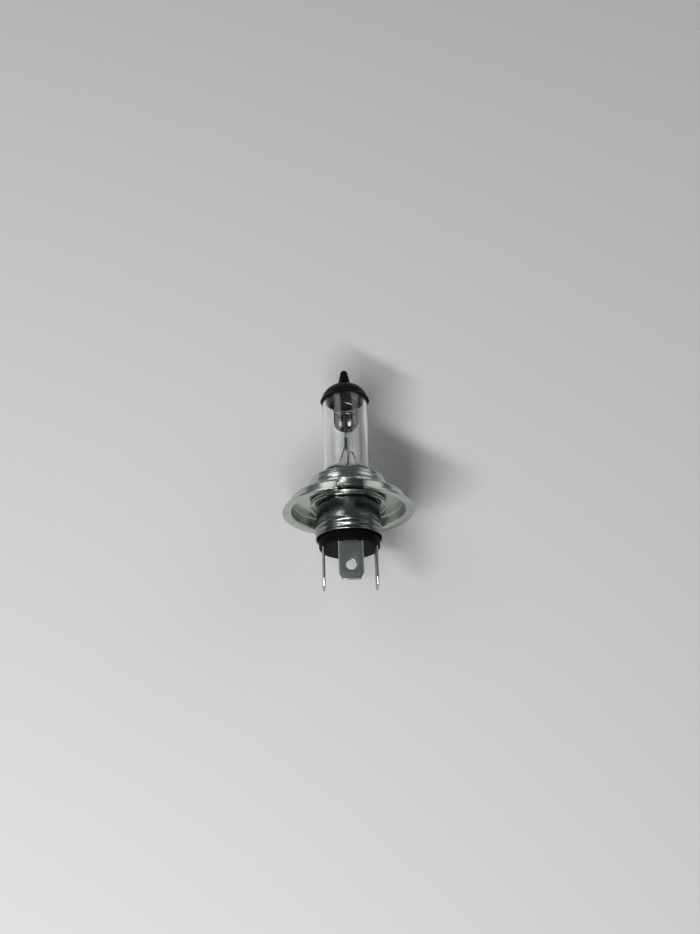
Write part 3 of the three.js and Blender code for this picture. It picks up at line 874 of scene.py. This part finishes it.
def glass_cavity(radius, shoulder, dome_station):
    """The capsule's inside, its faces turned toward the axis."""
    inner = radius - GLASS_WALL
    path = arc((0, shoulder), (inner, CAVITY_REAR_DEPTH), -90, 0, 16)
    path += arc((0, dome_station), (inner, DOME_HEIGHT - GLASS_WALL), 0, 90, 24)
    path[0] = (0, path[0][1])
    path[-1] = (0, path[-1][1])
    cavity = turned(path, closed=False)
    bmesh.ops.reverse_faces(cavity, faces=cavity.faces)
    return cavity


def make_glass():
    """A capsule of real wall thickness: a pinch that swells into a tube, and a dome with its exhaust tip."""
    low, high = span("glass_capsule")
    shoulder = low.y + PINCH_LENGTH
    dome = dome_path(0)
    built = bmesh.new()
    pinch_start = low.y + PINCH_ROUND
    sections = [(low.y + PINCH_ROUND * along, share) for along, share in PINCH_END]
    for i in range(1, PINCH_STEPS + 1):
        sections.append((pinch_start + (shoulder - pinch_start) * i / PINCH_STEPS, 1.0))
    outlines = [pinch_ring(station, shoulder, high.x, share) for station, share in sections]
    tube_length = dome[0][1] - shoulder
    outlines += [round_ring(high.x, shoulder + tube_length * i / TUBE_STEPS) for i in range(1, TUBE_STEPS)]
    outlines += [round_ring(radius, station) for radius, station in dome[:-1]]
    rings = [[built.verts.new((0, low.y, 0))]]
    rings += [[built.verts.new(point) for point in outline] for outline in outlines]
    rings.append([built.verts.new((0, dome[-1][1], 0))])
    skin(built, rings)
    cavity = glass_cavity(high.x, shoulder, dome[0][1])
    scratch = bpy.data.meshes.new("cavity")
    cavity.to_mesh(scratch)
    cavity.free()
    built.from_mesh(scratch)
    bpy.data.meshes.remove(scratch)
    return piece("glass_envelope", built, clear_glass, ["glass_capsule"])


def make_coating():
    """Black paint over the dome and tip, with a flared, slightly wavy bead at its lower edge."""
    low, high = span("black_top_coating")
    glass_radius = span("glass_capsule")[1].x
    rim = low.y + COAT_RISE
    lip = [(glass_radius + out, rim + rise) for out, rise in COAT_LIP_INNER]
    lip += [(high.x - inset, rim + rise) for inset, rise in COAT_LIP_OUTER]
    lip += [(glass_radius + COAT_LIP_TOP[0], rim + COAT_LIP_TOP[1])]
    outside = dome_path(COAT_OUTSIDE)[COAT_LIP_COVERS:]
    built = turned(dome_path(COAT_INSIDE)[::-1] + lip + outside, closed=False)
    for vertex in built.verts:
        fade = max(0, 1 - (vertex.co.y - rim) / COAT_WAVE_REACH)
        angle = math.atan2(vertex.co.x, vertex.co.z)
        wave = sum(height * math.sin(count * angle + phase) for height, count, phase in COAT_WAVES)
        vertex.co.y += fade * wave
    return piece("top_coating", built, black_paint, ["black_top_coating"])


# ---- Pinch clamp and carrier ---------------------------------------

CLAMP_SHEET = 0.4
CLAMP_INSIDE = (14.0, 4.8)  # width and depth of the sleeve that holds the pinch
CLAMP_INNER_CORNER = 0.8
CLAMP_OUTER_CORNER = 1.2
CLAMP_FOOT_CORNER = 2.4
CLAMP_EDGE = 0.08
CLAMP_STEP = 0.05  # the sleeve's end above the foot's rear face
CARRIER_SLOT = (15.4, 6.2)
CARRIER_SLOT_CORNER = 1.0
CARRIER_SHEET = 0.5


def rectangle(width, height, corner):
    """A rounded rectangle's outline."""
    x = width / 2
    y = height / 2
    return filleted([(-x, -y), (x, -y), (x, y), (-x, y)], corner, closed=True)


def upright(built, station):
    """Turns a plate made in X and Y to lie across the lamp axis at a station."""
    return moved(built, Matrix.Translation((0, station, 0)) @ Matrix.Rotation(math.radians(-90), 4, "X"))


def make_clamp():
    """A sheet sleeve round the pinch on a flat foot."""
    low, high = span("pinch_clamp")
    height = high.y - low.y
    width, depth = CLAMP_INSIDE
    inside = rectangle(width, depth, CLAMP_INNER_CORNER)[::-1]
    joint = rectangle(width + CLAMP_SHEET, depth + CLAMP_SHEET, CLAMP_INNER_CORNER)[::-1]
    foot = rectangle(high.x - low.x, high.z - low.z, CLAMP_FOOT_CORNER)
    wall = rectangle(width + 2 * CLAMP_SHEET, depth + 2 * CLAMP_SHEET, CLAMP_OUTER_CORNER)
    base = upright(plate([foot, joint], CLAMP_SHEET, CLAMP_EDGE), low.y + CLAMP_SHEET / 2)
    sleeve = plate([wall, inside], height - CLAMP_STEP, CLAMP_EDGE)
    upright(sleeve, low.y + (height + CLAMP_STEP) / 2)
    clamp = combined(base, [sleeve], "UNION")
    return piece("pinch_sleeve", clamp, nickel, ["pinch_clamp"])


def make_carrier():
    """The disc that closes the collar's mouth, slotted for the clamp."""
    low, high = span("clamp_carrier")
    disc = circle((0, 0), high.x, 144)
    slot = rectangle(*CARRIER_SLOT, CARRIER_SLOT_CORNER)[::-1]
    built = upright(plate([disc, slot], CARRIER_SHEET, CLAMP_EDGE), (low.y + high.y) / 2)
    return piece("carrier_disc", built, nickel, ["clamp_carrier"])


# ---- Filaments, shield and leads -----------------------------------

COIL_RADIUS = 0.48  # to the middle of the wire
FILAMENT_WIRE = 0.17  # radius
HIGH_BEAM_STATION = 22.3
HIGH_BEAM_LENGTH = 4.5
HIGH_BEAM_TURNS = 9
LOW_BEAM_STATION = 28.95
LOW_BEAM_LENGTH = 5.5
LOW_BEAM_TURNS = 10
LOW_BEAM_HEIGHT = 0.4
COIL_STEPS = 20  # points in one turn
LEG_REACH = 0.15  # how far a coil's end runs on sideways before it bends
LEG_PITCH = 0.67  # how far it goes along the axis meanwhile, as a share of that
LEG_SAMPLES = 6
FILAMENT_SIDES = 10

SHIELD_SHEET = 0.3
SHIELD_DROP = 0.3  # how far the straight edge lies below the axis
CUTOFF_ANGLE = 15  # degrees, the step in the low beam's edge
BOWL_DEPTH = 4.6
BOWL_START = -82  # degrees, where the bowl's curve begins, clear of the axis
SHIELD_LIP = 0.8  # width of the lip turned in at the mouth
SHIELD_LIP_LENGTH = 0.9
SHIELD_LIP_END = 88  # degrees
SHIELD_STEPS = 72

INNER_WIRE = 0.35  # radius
OUTER_WIRE = 0.45
FOIL_SHEET = 0.06
FOIL_EDGE = 0.02
FOIL_CORNER = 0.3
LEAD_BEND = 1.5  # from the pinch's rear end to where an outer lead turns off
LOW_BEAM_POST = (0.7, 2.4)  # right of and above the axis


def coil_path(start, length, height, turns, rear_leg, front_leg):
    """A filament's wire: a straight leg, the coil and another leg."""
    coil = []
    for i in range(turns * COIL_STEPS + 1):
        angle = 2 * math.pi * i / COIL_STEPS
        station = start + length * i / (turns * COIL_STEPS)
        coil.append(Vector((COIL_RADIUS * math.sin(angle), station, height - COIL_RADIUS * math.cos(angle))))
    run = Vector((LEG_REACH, LEG_REACH * LEG_PITCH, 0))
    rear = smooth_path(rear_leg + [coil[0] - run], LEG_SAMPLES)
    front = smooth_path([coil[-1] + run] + front_leg, LEG_SAMPLES)
    return rear + coil + front


def make_high_beam():
    """The coil on the axis, from its post to the support wire. The legs' points are listed one by one."""
    high = span("high_beam_filament")[1]
    post = span("high_beam_inner_lead")
    support = span("common_support_wire")[0].z + 2 * INNER_WIRE
    rear = [(post[0].x + 0.5, post[1].y - 0.3, 0.30), (post[0].x * 0.6, post[1].y + 0.4, 0.1),
            (0.1, post[1].y + 0.8, -0.45)]
    front = [(0.1, high.y - 0.45, -1.4), (0, high.y - 0.1, support + 0.1)]
    path = coil_path(HIGH_BEAM_STATION, HIGH_BEAM_LENGTH, 0, HIGH_BEAM_TURNS, rear, front)
    wire = tube(path, FILAMENT_WIRE, FILAMENT_SIDES)
    piece("high_beam_coil", wire, tungsten, ["high_beam_filament"])


def make_low_beam():
    """The coil over the shield, from its post to the shield. The legs' points are listed one by one."""
    low, high = span("low_beam_filament")
    post = span("low_beam_inner_lead")[1]
    rear = [(post.x - INNER_WIRE, post.y - 0.4, 1.75), (0.45, post.y + 0.5, 1.0),
            (0.1, LOW_BEAM_STATION - INNER_WIRE, 0.1)]
    front = [(0.1, high.y - 0.85, -0.9), (0.05, high.y - 0.1, -2.2), (0, high.y, low.z + 0.2)]
    path = coil_path(LOW_BEAM_STATION, LOW_BEAM_LENGTH, LOW_BEAM_HEIGHT, LOW_BEAM_TURNS, rear, front)
    wire = tube(path, FILAMENT_WIRE, FILAMENT_SIDES)
    piece("low_beam_coil", wire, tungsten, ["low_beam_filament"])


def make_shield():
    """A pressed goblet, open along the top, with one edge cut lower and its front lip turned in."""
    low, high = span("low_beam_shield")
    radius = -low.z
    bowl = low.y + BOWL_DEPTH
    lip_start = high.y - SHIELD_LIP_LENGTH
    path = arc((0, bowl), (radius, BOWL_DEPTH), BOWL_START, 0, 20)
    path += [(radius, bowl + (lip_start - bowl) * i / 6) for i in range(1, 7)]
    path += arc((radius - SHIELD_LIP, lip_start), (SHIELD_LIP, SHIELD_LIP_LENGTH), 0, SHIELD_LIP_END, 8)[1:]
    section = sheet_outline(path, SHIELD_SHEET, SHELL_EDGE)
    built = bmesh.new()
    rings = []
    for i in range(SHIELD_STEPS + 1):
        ring = []
        for reach, station in section:
            right = math.asin(min(SHIELD_DROP / max(reach, SHIELD_DROP), 1))
            left = right + math.radians(CUTOFF_ANGLE)
            angle = -math.pi + left + (math.pi - left - right) * i / SHIELD_STEPS
            ring.append(built.verts.new((reach * math.cos(angle), station, reach * math.sin(angle))))
        rings.append(ring)
    skin(built, rings)
    built.faces.new(rings[0])
    built.faces.new(rings[-1][::-1])
    bmesh.ops.recalc_face_normals(built, faces=built.faces)
    return piece("beam_shield", built, molybdenum, ["low_beam_shield"], 30)


def make_inner_wires():
    """The wires inside the capsule for the shield and both filaments. Their bends are listed one by one."""
    start = span("common_support_wire")[0].y - FIT
    shoulder = span("glass_capsule")[0].y + PINCH_LENGTH
    depth = -span("common_support_wire")[0].z - INNER_WIRE
    spacing = middle("high_beam_sealing_foil").x
    shield_rear = span("low_beam_shield")[0].y
    x, z = LOW_BEAM_POST
    low_post = span("low_beam_inner_lead")[1].y
    high_post = span("high_beam_inner_lead")[1].y - 0.1
    beam_front = HIGH_BEAM_STATION + HIGH_BEAM_LENGTH
    common = [(-spacing, start, 0), (-spacing, shoulder - 1, 0)]
    common += [(-spacing * 0.8, shoulder + 1.5, -depth * 0.4)]
    common += [(-spacing * 0.3, HIGH_BEAM_STATION, -depth * 0.85), (0, beam_front, -depth)]
    common += [(0, shield_rear + BOWL_DEPTH + 1, -depth)]
    low_beam = [(0, start, 0), (0, shoulder - 0.5, 0), (x / 2, shoulder + 2, z * 0.6)]
    low_beam += [(x, HIGH_BEAM_STATION, z), (x, low_post, z)]
    high_beam = [(spacing, start, 0), (spacing, shoulder - 0.5, 0)]
    high_beam += [(spacing * 0.75, (shoulder + high_post) / 2 + 0.5, 0), (spacing / 2, high_post, 0)]
    routes = {
        "common_support_wire": common,
        "low_beam_inner_lead": low_beam,
        "high_beam_inner_lead": high_beam,
    }
    for node, route in routes.items():
        name = node.replace("common_", "shield_").replace("lead", "wire")
        wire = tube(smooth_path(route, WIRE_SAMPLES), INNER_WIRE)
        piece(name, wire, molybdenum, [node])


def make_circuit(circuit, blade):
    """A foil in the pinch and the lead from it, by a given bend, to a blade's tail."""
    foil_node = circuit + "_sealing_foil"
    low, high = span(foil_node)
    centre = middle(foil_node)
    foil = plate([rectangle(high.x - low.x, high.y - low.y, FOIL_CORNER)], FOIL_SHEET, FOIL_EDGE)
    moved(foil, Matrix.Translation(centre))
    piece(circuit + "_foil", foil, molybdenum, [foil_node])
    lead = span(circuit + "_outer_lead")
    toward = middle(blade)
    outward = blade_distance(blade) - BLADE_THICKNESS / 2 - OUTER_WIRE
    x = math.copysign(outward, toward.x) if abs(toward.x) > abs(toward.z) else 0
    z = outward if abs(toward.z) > abs(toward.x) else 0
    tail = span(blade)[1].y
    bend = span("glass_capsule")[0].y - LEAD_BEND
    route = [(centre.x, lead[1].y, 0), (centre.x, bend, 0)]
    route += [(centre.x + (x - centre.x) * 0.8, (bend + tail) / 2, z * 0.8)]
    route += [(x, tail, z), (x, lead[0].y + FIT, z)]
    wire = tube(smooth_path(route, WIRE_SAMPLES), OUTER_WIRE)
    piece(circuit + "_base_wire", wire, molybdenum, [circuit + "_outer_lead"])


make_flange()
make_collar()
make_centring_ring()
make_shell()
make_insulator()
for blade_node, blade_angle in BLADES:
    make_blade(blade_node, blade_angle)
make_glass()
make_coating()
make_clamp()
make_carrier()
make_high_beam()
make_low_beam()
make_shield()
make_inner_wires()
make_circuit("common", "terminal_left")
make_circuit("low_beam", "terminal_top")
make_circuit("high_beam", "terminal_right")


# ---- Stage, lights and camera --------------------------------------

# Lengths here are in metres.
FLOOR_REACH = 1.5
FLOOR_DROP = 0.0002
FLOOR_COLOUR = (0.78, 0.78, 0.78, 1)
WORLD_COLOUR = (0.80, 0.85, 0.84, 1)
WORLD_STRENGTH = 0.14
LIGHT_AIM = Vector((0, 0.015, 0))
LIGHTS = (  # name, place, width and height, power in watts
    ("front", (-0.26, -0.45, 0.58), (0.60, 0.06), 4.8),
    ("key", (-0.48, 0.28, 0.50), (0.36, 0.36), 0.55),
    ("fill", (0.56, 0.28, 0.40), (0.50, 0.40), 0.5),
)

ELEVATION = 68.1  # of the camera above the lamp's level, in degrees
SWING = 2.5  # how far round the lamp axis it stands, to the left
ROLL = 2.0
DISTANCE = 430 * MM
FOCAL = 50.85  # in millimetres
CLIP_START = 0.01
AIM = Vector((1.0 * MM, 14.9 * MM))  # the picture's middle, right of and above the origin


def make_floor():
    """A plain pale floor just under the lamp."""
    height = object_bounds()[0][2] - FLOOR_DROP
    corners = [(-1, -1), (1, -1), (1, 1), (-1, 1)]
    mesh = bpy.data.meshes.new("floor")
    mesh.from_pydata([(x * FLOOR_REACH, y * FLOOR_REACH, height) for x, y in corners], [], [(0, 1, 2, 3)])
    floor = linked("floor", mesh)
    mesh.materials.append(Shader("floor", Roughness=0.7, Base_Color=FLOOR_COLOUR).material)


def make_light(name, place, size, power):
    """A soft rectangular light that faces the lamp."""
    light = bpy.data.lights.new(name, "AREA")
    light.shape = "RECTANGLE"
    light.size, light.size_y = size
    light.energy = power
    lamp = linked(name, light)
    lamp.location = place
    lamp.rotation_euler = (LIGHT_AIM - Vector(place)).to_track_quat("-Z", "Y").to_euler()


def make_world():
    """A dim grey room, shown without the default view's flattening."""
    world = bpy.data.worlds.new("studio")
    world.use_nodes = True
    background = world.node_tree.nodes["Background"]
    background.inputs["Color"].default_value = WORLD_COLOUR
    background.inputs["Strength"].default_value = WORLD_STRENGTH
    bpy.context.scene.world = world
    bpy.context.scene.view_settings.view_transform = "Standard"


def facing(forward, roll):
    """The right and up directions of a camera that looks along a direction with the lamp's tip upward."""
    axis = Vector((0, 1, 0))
    up = (axis - forward * axis.dot(forward)).normalized()
    right = forward.cross(up)
    turned_right = right * math.cos(roll) - up * math.sin(roll)
    turned_up = up * math.cos(roll) + right * math.sin(roll)
    return turned_right, turned_up


def make_camera():
    """A camera on the blades' side of the lamp, looking down and toward the tip."""
    down = math.radians(ELEVATION)
    swing = math.radians(SWING)
    toward = Vector((-math.sin(swing) * math.sin(down), -math.cos(down), math.cos(swing) * math.sin(down)))
    place = toward * DISTANCE
    right, up = facing(-toward, 0)
    forward = (right * AIM.x + up * AIM.y - place).normalized()
    right, up = facing(forward, math.radians(ROLL))
    data = bpy.data.cameras.new("camera")
    data.lens = FOCAL
    data.clip_start = CLIP_START
    camera = linked("camera", data)
    turn = Matrix((right, up, -forward)).transposed().to_4x4()
    camera.matrix_world = Matrix.Translation(place) @ turn
    bpy.context.scene.camera = camera


make_camera()
make_world()
for light_values in LIGHTS:
    make_light(*light_values)

make_floor()
